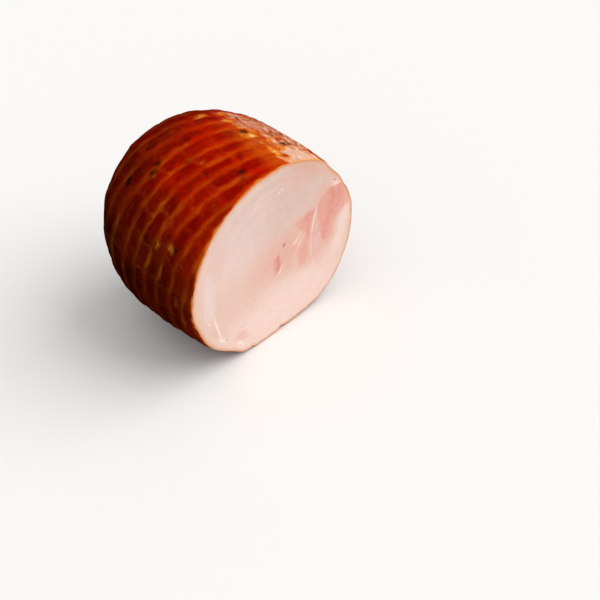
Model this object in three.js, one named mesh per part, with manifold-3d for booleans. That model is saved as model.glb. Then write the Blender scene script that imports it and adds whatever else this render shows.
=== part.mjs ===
// Half of a boneless ham that was tied in a net, smoked and grilled, then cut square across.
// One solid: a pressed, nearly round section at the cut, a barrel that swells a little, and a
// rounded far end where the net was gathered. The net has left sunk marks all round the skin.
//
// Frame of the finished part: +Z up, the cut face looks along -Y, X runs across the cut face,
// and the origin is at the middle of the underside of its bounding box.
// While it is being shaped, y = 0 is the cut plane, z = 0 is what the ham rests on, and
// x = 0, z = SECTION_HEIGHT is the middle of the cut section.

import * as THREE from 'three';
import { mergeVertices } from 'three/addons/utils/BufferGeometryUtils.js';
import Module from 'manifold-3d';

const wasm = await Module();
wasm.setup();

// ---- Driving dimensions (millimetres, degrees where the name says so) ----

const LENGTH = 121.2; // cut face to the tip of the rounded end
const SECTION_HEIGHT = 70.0; // middle of the cut section above what the ham rests on
const FAR_RADIUS = 75.0; // the section turns into a circle of this size towards the end

// The cut section: an almost round oval, pressed flat on three sides by the net and its own weight.
const OVAL = { halfWidth: 78.5, halfHeight: 75.1, power: 2.05, x: 0.2, z: -3.6 };
const PRESSED_SIDES = [
  { facingDeg: 34.0, distance: 75.6 }, // upper right
  { facingDeg: -86.9, distance: 65.9 }, // underside
  { facingDeg: 233.7, distance: 73.6 }, // lower left
];
const PRESS_BLEND = 20; // higher makes the turn from oval to pressed side tighter

// How the section changes along the length: it swells, then closes over the rounded end.
const END_POWER = 4.475;
const END_ROUNDNESS = 2.936;
const SWELL = 0.201;
const END_DRIFT = { x: -9.2, z: 8.9 }; // the middle of the section moves this far by the tip

// The soft underside settles: halfway along it hangs lowest, and what is below z = 0 is pressed flat.
const SAG = { depth: 4.5, focus: 10 };

// The net: hoops round the ham, joined by strands along it.
const NET_TILT = { x: 0.208, z: 0.12 }; // sideways and upward lean of the net's axis, per unit of y
const HOOP_PITCH = 10.75;
const FIRST_HOOP = 4.2; // where the first hoop behind the cut crosses the net's axis
const STRANDS = 27;
const STRAND_START_DEG = 120;
const DOME_START = 48; // along the axis: behind this the hoops close over the rounded end
const DOME_RADIUS = 72; // turns distance along the skin into an angle over the rounded end
const GROOVE_HALF_WIDTH = 2.1;
const HOOP_DEPTH = 0.85;
const STRAND_DEPTH = 0.55;
const PILLOW = 0.3; // how far the skin between the strands stands proud
const WANDER = 0.8; // how far a hoop strays from its plane
const STRAND_WANDER_DEG = 1.0;

// The gathered end of the net, a shallow pucker.
const PUCKER_RADIUS = 13;
const PUCKER_DEPTH = 3.2;

// The rim of the cut face: a bite at the upper right, where a bit of fat came away, and low
// swellings round it. Depth is measured inward, so a swelling's is negative.
const RIM_SHAPES = [
  { facingDeg: 42.5, halfAngleDeg: 4, reach: 9, depth: 1.0 },
  { facingDeg: 106, halfAngleDeg: 7, reach: 9, depth: -1.1 },
  { facingDeg: 140, halfAngleDeg: 11, reach: 9, depth: -0.8 },
  { facingDeg: 178, halfAngleDeg: 12, reach: 10, depth: -1.4 },
  { facingDeg: 213, halfAngleDeg: 8, reach: 9, depth: -1.5 },
  { facingDeg: -10, halfAngleDeg: 12, reach: 8, depth: -0.8 },
];

// The net leaves no mark where the ham lies on its underside.
const REST_FADE = { from: 1.5, to: 9.0 };

// ---- Shape of the smooth body ----

const radians = THREE.MathUtils.degToRad;
const smooth = THREE.MathUtils.smoothstep;

/** Distance from the middle of the cut section to its outline, in the direction of `angle`. */
function outlineRadius(angle) {
  const across = Math.abs(Math.cos(angle) / OVAL.halfWidth) ** OVAL.power;
  const up = Math.abs(Math.sin(angle) / OVAL.halfHeight) ** OVAL.power;
  let total = (across + up) ** (PRESS_BLEND / OVAL.power);
  for (const side of PRESSED_SIDES) {
    const towards = Math.cos(angle - radians(side.facingDeg));
    if (towards > 0) total += (towards / side.distance) ** PRESS_BLEND;
  }
  return total ** (-1 / PRESS_BLEND);
}

/** Middle, size and roundness of the section at distance y behind the cut. */
function sectionAt(y) {
  const along = THREE.MathUtils.clamp(y / LENGTH, 0, 1);
  return {
    x: OVAL.x + END_DRIFT.x * along,
    z: SECTION_HEIGHT + OVAL.z * (1 - along) + END_DRIFT.z * along,
    roundness: along,
    scale: (1 - along ** END_POWER) ** (1 / END_ROUNDNESS) + SWELL * along * (1 - along),
    sag: SAG.depth * 4 * along * (1 - along),
  };
}

/** Distance from the middle of a section to the smooth skin, in the direction of `angle`. */
function sectionRadius(section, angle) {
  const outline = THREE.MathUtils.lerp(outlineRadius(angle), FAR_RADIUS, section.roundness);
  const downward = Math.max(-Math.sin(angle), 0) ** SAG.focus;
  return outline * section.scale + section.sag * downward;
}

/** Below 0 inside the smooth body, above 0 outside. In front of the cut it runs on unchanged. */
function outsideness(point) {
  const section = sectionAt(point.y);
  const dx = point.x - section.x;
  const dz = point.z - section.z;
  return Math.hypot(dx, dz) - sectionRadius(section, Math.atan2(dz, dx));
}

/** How far a ray from inside the body travels before it leaves it. */
function distanceToSkin(origin, direction) {
  const point = new THREE.Vector3();
  let inside = 0;
  let outside = LENGTH + FAR_RADIUS;
  for (let step = 0; step < 40; step += 1) {
    const middle = (inside + outside) / 2;
    point.copy(origin).addScaledVector(direction, middle);
    if (outsideness(point) < 0) inside = middle;
    else outside = middle;
  }
  return inside;
}

// ---- The net's own directions ----

const netAxis = new THREE.Vector3(NET_TILT.x, 1, NET_TILT.z).normalize();
const netRight = new THREE.Vector3(1, 0, 0).addScaledVector(netAxis, -netAxis.x).normalize();
const netUp = new THREE.Vector3().crossVectors(netRight, netAxis);
const netOrigin = new THREE.Vector3(OVAL.x, 0, SECTION_HEIGHT + OVAL.z);

/** Ray that meets the skin at distance `along` down the net and at angle `turn` round it. */
function netRay(along, turn) {
  const outward = netRight.clone().multiplyScalar(Math.cos(turn)).addScaledVector(netUp, Math.sin(turn));
  const overEnd = Math.max(along - DOME_START, 0) / DOME_RADIUS;
  const direction = outward.multiplyScalar(Math.cos(overEnd)).addScaledVector(netAxis, Math.sin(overEnd));
  const origin = netOrigin.clone().addScaledVector(netAxis, Math.min(along, DOME_START));
  return { origin, direction };
}

const POLE = DOME_START + DOME_RADIUS * Math.PI / 2; // where every strand meets, on the far end

/** Where hoop number `hoop` lies at angle `turn`: near its plane, with a little wander. */
function hoopWander(hoop, turn) {
  return WANDER * (0.6 * Math.sin(2 * turn + 1.9 * hoop) + 0.4 * Math.sin(5 * turn + 2.3 * hoop));
}

// ---- Mesh rows and columns: on each strand and at the foot of its groove ----

/** Rows along the net: { along, hoop, depth }, from in front of the cut to near the pole. */
function netRows() {
  const rows = [];
  const firstHoop = -3;
  const lastHoop = Math.floor((POLE - FIRST_HOOP) / HOOP_PITCH) - 1;
  for (let hoop = firstHoop; hoop <= lastHoop; hoop += 1) {
    const centre = FIRST_HOOP + hoop * HOOP_PITCH;
    rows.push({ along: centre - GROOVE_HALF_WIDTH, hoop, depth: 0 });
    rows.push({ along: centre, hoop, depth: HOOP_DEPTH });
    rows.push({ along: centre + GROOVE_HALF_WIDTH, hoop, depth: 0 });
  }
  return rows;
}

/** Columns round the net: { turn, strand, depth }. */
function netColumns() {
  const columns = [];
  const pitch = 2 * Math.PI / STRANDS;
  const halfGroove = GROOVE_HALF_WIDTH / FAR_RADIUS;
  for (let strand = 0; strand < STRANDS; strand += 1) {
    const centre = radians(STRAND_START_DEG) + strand * pitch;
    columns.push({ turn: centre - halfGroove, strand, depth: 0 });
    columns.push({ turn: centre, strand, depth: STRAND_DEPTH });
    columns.push({ turn: centre + halfGroove, strand, depth: 0 });
  }
  return columns;
}

/** How far the rim's bite and swellings take a point of the skin inward. */
function rimDepth(point) {
  const section = sectionAt(point.y);
  const angle = Math.atan2(point.z - section.z, point.x - section.x);
  let depth = 0;
  for (const shape of RIM_SHAPES) {
    const apart = angle - radians(shape.facingDeg);
    const nearest = Math.atan2(Math.sin(apart), Math.cos(apart));
    const sideways = nearest / radians(shape.halfAngleDeg);
    const back = Math.max(point.y, 0) / shape.reach;
    depth += shape.depth * Math.exp(-sideways * sideways - back * back);
  }
  return depth;
}

/** A point of the marked skin for one row and column of the net. */
function skinPoint(row, column) {
  const turnWander = radians(STRAND_WANDER_DEG) * Math.sin(row.along / 17 + 2.1 * column.strand);
  const turn = column.turn + turnWander;
  const { origin, direction } = netRay(row.along + hoopWander(row.hoop, turn), turn);
  const reach = distanceToSkin(origin, direction);
  const point = origin.clone().addScaledVector(direction, reach);
  const marks = PILLOW - Math.max(row.depth, column.depth) - (row.depth || column.depth ? PILLOW : 0);
  const marked = marks * smooth(point.z, REST_FADE.from, REST_FADE.to);
  const pucker = PUCKER_DEPTH * Math.exp(-(((POLE - row.along) / PUCKER_RADIUS) ** 2));
  return point.addScaledVector(direction, marked - pucker - rimDepth(point));
}

/** Closed mesh from rings of points, with one more point closing each end. */
function closedMesh(rings, firstPoint, lastPoint) {
  const around = rings[0].length;
  const points = [firstPoint, ...rings.flat(), lastPoint];
  const last = points.length - 1;
  const at = (ring, place) => 1 + ring * around + (place % around);
  const faces = [];
  for (let place = 0; place < around; place += 1) {
    faces.push([0, at(0, place), at(0, place + 1)]);
    faces.push([last, at(rings.length - 1, place + 1), at(rings.length - 1, place)]);
    for (let ring = 0; ring + 1 < rings.length; ring += 1) {
      faces.push([at(ring, place), at(ring + 1, place), at(ring + 1, place + 1)]);
      faces.push([at(ring, place), at(ring + 1, place + 1), at(ring, place + 1)]);
    }
  }
  const geometry = new THREE.BufferGeometry();
  geometry.setAttribute('position', new THREE.Float32BufferAttribute(points.flatMap((p) => p.toArray()), 3));
  geometry.setIndex(faces.flat());
  return geometry;
}

/** The whole skin, running on in front of the cut, closed at both ends. */
function skinGeometry() {
  const columns = netColumns();
  const rings = netRows().map((row) => columns.map((column) => skinPoint(row, column)));
  const front = netOrigin.clone().addScaledVector(netAxis, netRows()[0].along);
  const tip = netRay(POLE, 0);
  const end = tip.origin.addScaledVector(tip.direction, distanceToSkin(tip.origin, tip.direction) - PUCKER_DEPTH);
  return closedMesh(rings, front, end);
}

// ---- Cutting ----

/** A closed geometry as a solid that can be cut. */
function toSolid(geometry) {
  const bare = geometry.clone();
  bare.deleteAttribute('normal');
  bare.deleteAttribute('uv');
  const merged = mergeVertices(bare, 1e-4);
  return new wasm.Manifold(new wasm.Mesh({
    numProp: 3,
    vertProperties: new Float32Array(merged.attributes.position.array),
    triVerts: new Uint32Array(merged.index.array),
  }));
}

/** A solid back as a geometry. */
function toGeometry(solid) {
  const mesh = solid.getMesh();
  const geometry = new THREE.BufferGeometry();
  geometry.setAttribute('position', new THREE.Float32BufferAttribute(mesh.vertProperties, 3));
  geometry.setIndex(Array.from(mesh.triVerts));
  return geometry;
}

/** A block large enough to take away everything on the far side of a plane through the origin. */
function block(x, y, z) {
  const size = 4 * LENGTH;
  return toSolid(new THREE.BoxGeometry(size, size, size).translate(x * size / 2, y * size / 2, z * size / 2));
}

/** The finished ham: the skin cut by the knife and flattened by what it rests on. */
function hamGeometry() {
  const whole = toSolid(skinGeometry());
  const inFrontOfKnife = block(0, -1, 0);
  const underTable = block(0, 0, -1);
  const geometry = toGeometry(whole.subtract(inFrontOfKnife).subtract(underTable));
  geometry.computeBoundingBox();
  const middle = geometry.boundingBox.getCenter(new THREE.Vector3());
  geometry.translate(-middle.x, -middle.y, -geometry.boundingBox.min.z);
  geometry.computeVertexNormals();
  return geometry;
}

const grilledSkin = new THREE.MeshStandardMaterial({ color: '#8a2408', roughness: 0.4, metalness: 0 });

const ham = new THREE.Mesh(hamGeometry(), grilledSkin);
ham.name = 'ham';

const group = new THREE.Group();
group.add(ham);

export default group;
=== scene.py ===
"""Looks of half a grilled ham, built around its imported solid.

The ham lies on its side. Its cut face looks along -Y, its rounded end points along +Y, and the
origin is at the middle of its underside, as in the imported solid.

Sizes held by the classes are millimetres unless a name says otherwise, and are measured in the
section frame: x across the cut face from the middle of the section, y behind the knife's plane and
z above what the ham rests on. Meshes are made in metres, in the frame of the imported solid.
"""

from __future__ import annotations

import logging
import math
from dataclasses import dataclass, field
from enum import Enum
from typing import Any

import bpy
import numpy as np
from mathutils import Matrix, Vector

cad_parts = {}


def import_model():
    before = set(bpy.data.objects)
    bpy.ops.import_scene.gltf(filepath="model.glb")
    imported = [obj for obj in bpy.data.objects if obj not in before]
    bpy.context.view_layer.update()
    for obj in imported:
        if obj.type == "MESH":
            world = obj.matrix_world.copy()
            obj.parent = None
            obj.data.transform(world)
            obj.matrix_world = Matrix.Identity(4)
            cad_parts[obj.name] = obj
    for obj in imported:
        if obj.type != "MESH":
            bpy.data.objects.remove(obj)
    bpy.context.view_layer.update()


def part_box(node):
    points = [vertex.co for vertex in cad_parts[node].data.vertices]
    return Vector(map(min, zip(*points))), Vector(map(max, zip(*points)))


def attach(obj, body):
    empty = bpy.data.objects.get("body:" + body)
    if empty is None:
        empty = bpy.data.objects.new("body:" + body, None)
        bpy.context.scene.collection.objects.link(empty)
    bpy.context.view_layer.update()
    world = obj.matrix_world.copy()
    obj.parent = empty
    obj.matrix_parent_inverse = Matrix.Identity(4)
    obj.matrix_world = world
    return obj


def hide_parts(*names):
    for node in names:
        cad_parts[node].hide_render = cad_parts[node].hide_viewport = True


LOG = logging.getLogger("grilled_ham")

MM = 0.001
BODY = "root"
NODE = "ham"

Array = np.ndarray
Colour = tuple[float, float, float, float]
Span = tuple[float, float]

# Further away, in millimetres, than anything on the ham.
FAR_AWAY = 1e3


# ---------------------------------------------------------------------------
# Small numeric helpers
# ---------------------------------------------------------------------------


def srgb(red: int, green: int, blue: int) -> Colour:
    """Turns a colour of 0 to 255 per channel, as a screen shows it, into a linear one.

    Args:
        red: Red, 0 to 255.
        green: Green, 0 to 255.
        blue: Blue, 0 to 255.

    Returns:
        Linear red, green, blue and an alpha of 1.
    """

    def linear(channel: int) -> float:
        """Linear light of one channel."""
        share = channel / 255
        if share <= 0.04045:
            return share / 12.92
        return ((share + 0.055) / 1.055) ** 2.4

    return (linear(red), linear(green), linear(blue), 1.0)


def smooth(values: Array, start: float, end: float) -> Array:
    """Smooth step of each value, 0 at start and 1 at end; start may be the larger."""
    share = np.clip((values - start) / (end - start), 0.0, 1.0)
    return share * share * (3 - 2 * share)


def bell(values: Array, width: float) -> Array:
    """Bell curve of each value: 1 at 0, falling to a third at the given width."""
    return np.exp(-((values / width) ** 2))


def turn_from(angles: Array, centre: float) -> Array:
    """Signed turn from a centre to each angle, all in degrees, -180 to 180."""
    return (angles - centre + 180) % 360 - 180


@dataclass(frozen=True)
class Unevenness:
    """Smooth irregular variation through space, from a seeded sum of plane waves."""

    size: float
    seed: int
    waves: int = 28

    def at(self, points: Array) -> Array:
        """Values of about -1 to 1.

        Args:
            points: Places in millimetres, any shape ending in 3.

        Returns:
            One value for each place.
        """
        draw = np.random.default_rng(self.seed)
        directions = draw.normal(size=(self.waves, 3))
        directions /= np.linalg.norm(directions, axis=1, keepdims=True)
        lengths = self.size * draw.uniform(0.7, 1.7, self.waves)
        phases = draw.uniform(0, 2 * math.pi, self.waves)
        total = np.zeros(points.shape[:-1])
        for direction, length, phase in zip(directions, lengths, phases):
            total += np.sin(points @ direction * (2 * math.pi / length) + phase)
        return total / math.sqrt(self.waves)


# ---------------------------------------------------------------------------
# Shape of the ham
# ---------------------------------------------------------------------------


@dataclass(frozen=True)
class PressedSide:
    """A side of the cut section that the net and the ham's own weight pressed flat."""

    facing_deg: float
    distance: float


@dataclass(frozen=True)
class HamBody:
    """The smooth body: a pressed oval at the cut that swells, turns round and closes."""

    length: float = 121.2
    section_height: float = 70.0
    far_radius: float = 75.0
    half_width: float = 78.5
    half_height: float = 75.1
    oval_power: float = 2.05
    centre_x: float = 0.2
    centre_z: float = -3.6
    pressed_sides: tuple[PressedSide, ...] = (
        PressedSide(34.0, 75.6),
        PressedSide(-86.9, 65.9),
        PressedSide(233.7, 73.6),
    )
    press_blend: float = 20.0
    end_power: float = 4.475
    end_roundness: float = 2.936
    swell: float = 0.201
    drift_x: float = -9.2
    drift_z: float = 8.9
    sag: float = 4.5
    sag_focus: float = 10.0

    def outline(self, angle: Array) -> Array:
        """Distance from the middle of the cut section to its outline at each angle."""
        across = np.abs(np.cos(angle) / self.half_width) ** self.oval_power
        up = np.abs(np.sin(angle) / self.half_height) ** self.oval_power
        total = (across + up) ** (self.press_blend / self.oval_power)
        for side in self.pressed_sides:
            towards = np.maximum(np.cos(angle - math.radians(side.facing_deg)), 0.0)
            total = total + (towards / side.distance) ** self.press_blend
        return total ** (-1 / self.press_blend)

    def centre(self, along: Array) -> tuple[Array, Array]:
        """Middle of the section, x and z, at each share of the length."""
        x = self.centre_x + self.drift_x * along
        z = self.section_height + self.centre_z * (1 - along) + self.drift_z * along
        return x, z

    def radius(self, along: Array, angle: Array) -> Array:
        """Distance from the middle of the section to the skin."""
        closing = np.maximum(1 - along**self.end_power, 0.0) ** (1 / self.end_roundness)
        scale = closing + self.swell * along * (1 - along)
        outline = self.outline(angle) * (1 - along) + self.far_radius * along
        downward = np.maximum(-np.sin(angle), 0.0) ** self.sag_focus
        return outline * scale + self.sag * 4 * along * (1 - along) * downward

    def skin(self, along: Array, angle: Array) -> Array:
        """Points of the smooth skin.

        Args:
            along: Share of the length, 0 at the cut and 1 at the tip.
            angle: Direction from the middle of the section, 0 towards +X.

        Returns:
            Points in the section frame, with one more axis than the arguments.
        """
        x, z = self.centre(along)
        radius = self.radius(along, angle)
        across = x + radius * np.cos(angle)
        return np.stack([across, along * self.length, z + radius * np.sin(angle)], axis=-1)

    def angle_of(self, points: Array) -> Array:
        """Direction of each point from the middle of its section, in degrees, 0 to 360."""
        along = np.clip(points[..., 1] / self.length, 0.0, 1.0)
        x, z = self.centre(along)
        return np.degrees(np.arctan2(points[..., 2] - z, points[..., 0] - x)) % 360

    def ring_shares(self, first: float, spacing: float) -> Array:
        """Shares of the length at which rings lie evenly spaced over the skin.

        Args:
            first: Distance of the first ring behind the cut.
            spacing: Distance between rings, measured over the skin.

        Returns:
            Rising shares of the length, short of the tip.
        """
        samples = 6000
        crowding_at_tip = 3
        fine = 1 - (1 - np.linspace(0, 1, samples)) ** crowding_at_tip
        profile = self.skin(fine, np.full_like(fine, math.pi / 2))
        steps = np.linalg.norm(np.diff(profile, axis=0), axis=1)
        travelled = np.concatenate([[0.0], np.cumsum(steps)])
        rings = int((travelled[-1] - first) / spacing)
        return np.interp(np.linspace(first, travelled[-1], rings + 1)[:-1], travelled, fine)


@dataclass(frozen=True)
class NetMarks:
    """What the net left at each point of the skin."""

    hoop_offset: Array
    strand_offset: Array
    hoop_strength: Array
    strand_strength: Array
    cell_tone: Array
    gathered: Array


@dataclass(frozen=True)
class Net:
    """Hoops round the ham and strands along it, leaning away from the knife's direction."""

    tilt_x: float = 0.208
    tilt_z: float = 0.12
    hoop_pitch: float = 10.75
    first_hoop: float = 4.2
    strands: int = 27
    strand_start_deg: float = 120.0
    dome_start: float = 48.0
    dome_radius: float = 72.0
    wander: float = 0.8
    strand_wander_deg: float = 1.0
    strand_jog: float = 2.6
    strand_slant: float = 0.7
    end_wander: float = 1.6
    hoop_depth: float = 0.75
    strand_depth: float = 0.4
    hoop_width: float = 1.7
    strand_width: float = 1.6
    pillow: float = 0.35
    pleat_share: float = 1.6
    rest_from: float = 1.5
    rest_to: float = 9.0
    pucker_radius: float = 13.0
    pucker_depth: float = 3.2
    crown_hoop: float = 3.0
    crown_strand: float = 3.5
    crown_share: float = 0.7
    sway_length: float = 17.0
    jog_radius: float = 60.0
    gathers: Span = (48.0, 18.0)
    strand_fade: Span = (5.0, 16.0)
    rows: int = 32
    rows_before_first: int = 4
    seed: int = 11

    @property
    def pole(self) -> float:
        """Distance down the net at which every strand meets."""
        return self.dome_start + self.dome_radius * math.pi / 2

    def directions(self) -> tuple[Array, Array, Array]:
        """The net's axis and its own right and up, as unit vectors."""
        axis = np.array([self.tilt_x, 1.0, self.tilt_z])
        axis /= np.linalg.norm(axis)
        right = np.array([1.0, 0.0, 0.0]) - axis * axis[0]
        right /= np.linalg.norm(right)
        return axis, right, np.cross(right, axis)

    def coordinates(self, body: HamBody, points: Array) -> tuple[Array, Array, Array]:
        """Where points lie on the net.

        Args:
            body: The body that the net is drawn over.
            points: Points of the skin in the section frame.

        Returns:
            Distance down the net, angle round it, and distance from its axis.
        """
        axis, right, up = self.directions()
        origin = np.array([body.centre_x, 0.0, body.section_height + body.centre_z])
        away = points - origin
        down = away @ axis
        sideways = away @ right
        upward = away @ up
        radius = np.hypot(sideways, upward)
        over_end = np.arctan2(down - self.dome_start, radius)
        along = np.where(down < self.dome_start, down, self.dome_start + self.dome_radius * over_end)
        return along, np.arctan2(upward, sideways), radius

    def hoop_wander(self, hoop: Array, turn: Array) -> Array:
        """How far a hoop strays from its plane at an angle round the net."""
        slow = 0.6 * np.sin(2 * turn + 1.9 * hoop)
        quick = 0.4 * np.sin(5 * turn + 2.3 * hoop)
        over_end = smooth(hoop, 4.0, 9.0) * (0.7 * np.sin(3 * turn + hoop) + 0.3 * np.sin(7 * turn - hoop))
        return self.wander * (slow + quick) + self.end_wander * over_end

    def marks(self, body: HamBody, points: Array) -> NetMarks:
        """Finds the nearest hoop and strand for each point, and how strongly they show.

        Args:
            body: The body that the net is drawn over.
            points: Points of the skin in the section frame.

        Returns:
            The marks at each point.
        """
        along, turn, radius = self.coordinates(body, points)
        guess = np.round((along - self.first_hoop) / self.hoop_pitch)
        gap = np.full(along.shape, FAR_AWAY)
        hoop = guess.copy()
        signed = np.zeros(along.shape)
        for step in (-1, 0, 1):
            place = self.first_hoop + (guess + step) * self.hoop_pitch
            place = place + self.hoop_wander(guess + step, turn)
            offset = along - place
            nearer = np.abs(offset) < gap
            gap = np.where(nearer, np.abs(offset), gap)
            signed = np.where(nearer, offset, signed)
            hoop = np.where(nearer, guess + step, hoop)
        row = (hoop + (signed >= 0)).astype(int) + self.rows_before_first

        pitch = 2 * math.pi / self.strands
        draw = np.random.default_rng(self.seed)
        cells = (self.rows, self.strands)
        jog = draw.uniform(-1, 1, cells) * self.strand_jog
        slant = draw.uniform(-1, 1, cells) * self.strand_slant
        strand_power = draw.uniform(0, 1, cells)
        tone = draw.uniform(0, 1, cells)
        across_row = np.where(signed >= 0, signed, signed + self.hoop_pitch) - self.hoop_pitch / 2
        place = (turn - math.radians(self.strand_start_deg)) / pitch
        strand = np.round(place).astype(int) % self.strands
        sway = math.radians(self.strand_wander_deg) * np.sin(along / self.sway_length + 2.1 * strand)
        off_turn = (place - np.round(place)) * pitch - sway
        jogged = jog[row, strand] + slant[row, strand] * across_row
        jogged = off_turn * radius - jogged * np.clip(radius / self.jog_radius, 0, 1)
        cell = np.floor(place - sway / pitch).astype(int) % self.strands
        gathered = smooth(self.pole - along, *self.gathers)
        power = strand_power[row, strand]
        fade = smooth(radius, *self.strand_fade)
        return NetMarks(
            hoop_offset=signed,
            strand_offset=jogged,
            hoop_strength=(0.7 + 0.3 * np.sin(4 * turn + 2.7 * hoop)) * (1 - 0.75 * gathered),
            strand_strength=(power + (0.9 - 0.6 * power) * gathered) * (0.25 + 0.75 * fade),
            cell_tone=tone[row, cell],
            gathered=gathered,
        )

    def relief(self, body: HamBody, points: Array, marks: NetMarks) -> Array:
        """Height of the marked skin over the smooth body at each point."""
        along = self.coordinates(body, points)[0]
        hoop = self.hoop_depth * marks.hoop_strength * bell(marks.hoop_offset, self.hoop_width)
        strand = self.strand_depth * marks.strand_strength * bell(marks.strand_offset, self.strand_width)
        strand = strand * (1 + self.pleat_share * marks.gathered)
        crown = 1 - bell(marks.hoop_offset, self.crown_hoop)
        crown = crown * (1 - self.crown_share * bell(marks.strand_offset, self.crown_strand))
        height = self.pillow * crown - np.maximum(hoop, strand)
        pucker = self.pucker_depth * bell(np.maximum(self.pole - along, 0.0), self.pucker_radius)
        return height * smooth(points[..., 2], self.rest_from, self.rest_to) - pucker


class SpotKind(Enum):
    """Kinds of small mark on the skin."""

    CHAR = "char"
    GOLD = "gold"
    WHITE = "white"


@dataclass(frozen=True)
class SkinSpot:
    """A small scorched, golden or white mark: its direction, distance behind the cut, and reach."""

    kind: SpotKind
    angle_deg: float
    behind: float
    around: float
    along: float
    strength: float

    def cover(self, places: SkinPlaces, radius: float) -> Array:
        """How strongly the mark shows at each point of skin that has about the given radius."""
        around = turn_from(places.facing, self.angle_deg) * math.radians(radius)
        fall = (around / self.around) ** 2
        return self.strength * np.exp(-fall - ((places.behind - self.behind) / self.along) ** 2)


@dataclass(frozen=True)
class SkinPatch:
    """A soft-edged field on the skin between two angles and two distances behind the cut."""

    angles_deg: Span
    behind: Span
    angle_blend: float
    behind_blend: float

    def cover(self, angle: Array, behind: Array) -> Array:
        """How far each point lies inside the patch, 0 to 1."""
        low, high = self.angles_deg
        near, far = self.behind
        middle = (low + high) / 2
        offset = np.abs(turn_from(angle, middle))
        half = (high - low) / 2
        sideways = 1 - smooth(offset, half - self.angle_blend, half + self.angle_blend)
        start = smooth(behind, near - self.behind_blend, near + self.behind_blend)
        end = 1 - smooth(behind, far - self.behind_blend, far + self.behind_blend)
        return sideways * start * end


@dataclass(frozen=True)
class Scallop:
    """A bite out of the rim where a bit of fat came away, or a swelling if its depth is negative."""

    facing_deg: float
    half_angle_deg: float
    reach: float
    depth: float

    def depth_at(self, angle: Array, behind: Array) -> Array:
        """Depth of the scallop at each point of the skin."""
        offset = turn_from(angle, self.facing_deg)
        return self.depth * bell(offset, self.half_angle_deg) * bell(behind, self.reach)


@dataclass(frozen=True)
class SkinPlaces:
    """Where the points of the skin lie, and the small and large drift that frays every border."""

    base: Array
    facing: Array
    behind: Array
    small: Array
    large: Array

    @classmethod
    def of(cls, body: HamBody, base: Array) -> SkinPlaces:
        """Finds the places of points of the smooth skin.

        Args:
            body: The body that the points lie on.
            base: Points of its smooth skin.

        Returns:
            Their directions in degrees, their distances behind the cut, and the drift there.
        """
        small = Unevenness(8.0, 8).at(base)
        large = Unevenness(24.0, 9).at(base)
        return cls(base, body.angle_of(base), base[..., 1], small, large)

    def ragged(self) -> tuple[Array, Array]:
        """Angle and distance behind the cut, bent so that a patch read by them gets a torn border.

        The border is bent most on the side of the ridge that faces right.
        """
        right = 1 - smooth(self.facing, 50.0, 66.0)
        angle = self.facing + 4 * self.small + (3 + 12 * right) * self.large
        return angle, self.behind + 4 * self.small + (2 + 9 * right) * self.large


@dataclass(frozen=True)
class RidgeStretch:
    """A stretch of the skin about one direction that fades away behind the cut."""

    facing_deg: float
    half_angle_deg: float
    reach: Span
    fading: float

    def cover(self, places: SkinPlaces) -> Array:
        """How strongly the stretch shows at each point, 0 to 1."""
        across = bell(turn_from(places.facing, self.facing_deg), self.half_angle_deg)
        return across * (1 - self.fading * smooth(places.behind, *self.reach))


@dataclass(frozen=True)
class BrowningAndShade:
    """How browned the skin is and how much painted shade it gets: least along the ridge, most on the left
    and low down.
    """

    ridge_deg: float = 95.0
    left_spread: Span = (3.0, 104.0)
    right_spread: Span = (60.0, 150.0)
    right_share: float = 0.5
    underneath_deg: Span = (235.0, 315.0)
    cut_share: float = 0.72
    cut_reach: Span = (8.0, 45.0)
    tip_tone: float = 0.55
    tip_reach: Span = (98.0, 119.0)
    far_share: float = 0.46
    far_reach: Span = (48.0, 95.0)
    far_overlap: float = 0.8
    blotches: Unevenness = Unevenness(30.0, 6)
    blotch_share: float = 0.07

    def at(self, places: SkinPlaces) -> Array:
        """Browning at each point of the skin, 0 to 1."""
        facing, behind = places.facing, places.behind
        from_ridge = np.abs(turn_from(facing, self.ridge_deg))
        left = smooth(from_ridge, *self.left_spread)
        right = self.right_share * smooth(from_ridge, *self.right_spread)
        to_right = np.where(facing > self.ridge_deg, smooth(facing, *self.underneath_deg), 1.0)
        around = left * (1 - to_right) + right * to_right
        around = around * (self.cut_share + (1 - self.cut_share) * smooth(behind, *self.cut_reach))
        around += (self.tip_tone - around) * smooth(behind, *self.tip_reach)
        far_end = self.far_share * smooth(behind, *self.far_reach)
        brown_and_shade = around + far_end * (1 - self.far_overlap * around)
        return np.clip(brown_and_shade + self.blotch_share * self.blotches.at(places.base), 0, 1)


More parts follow.
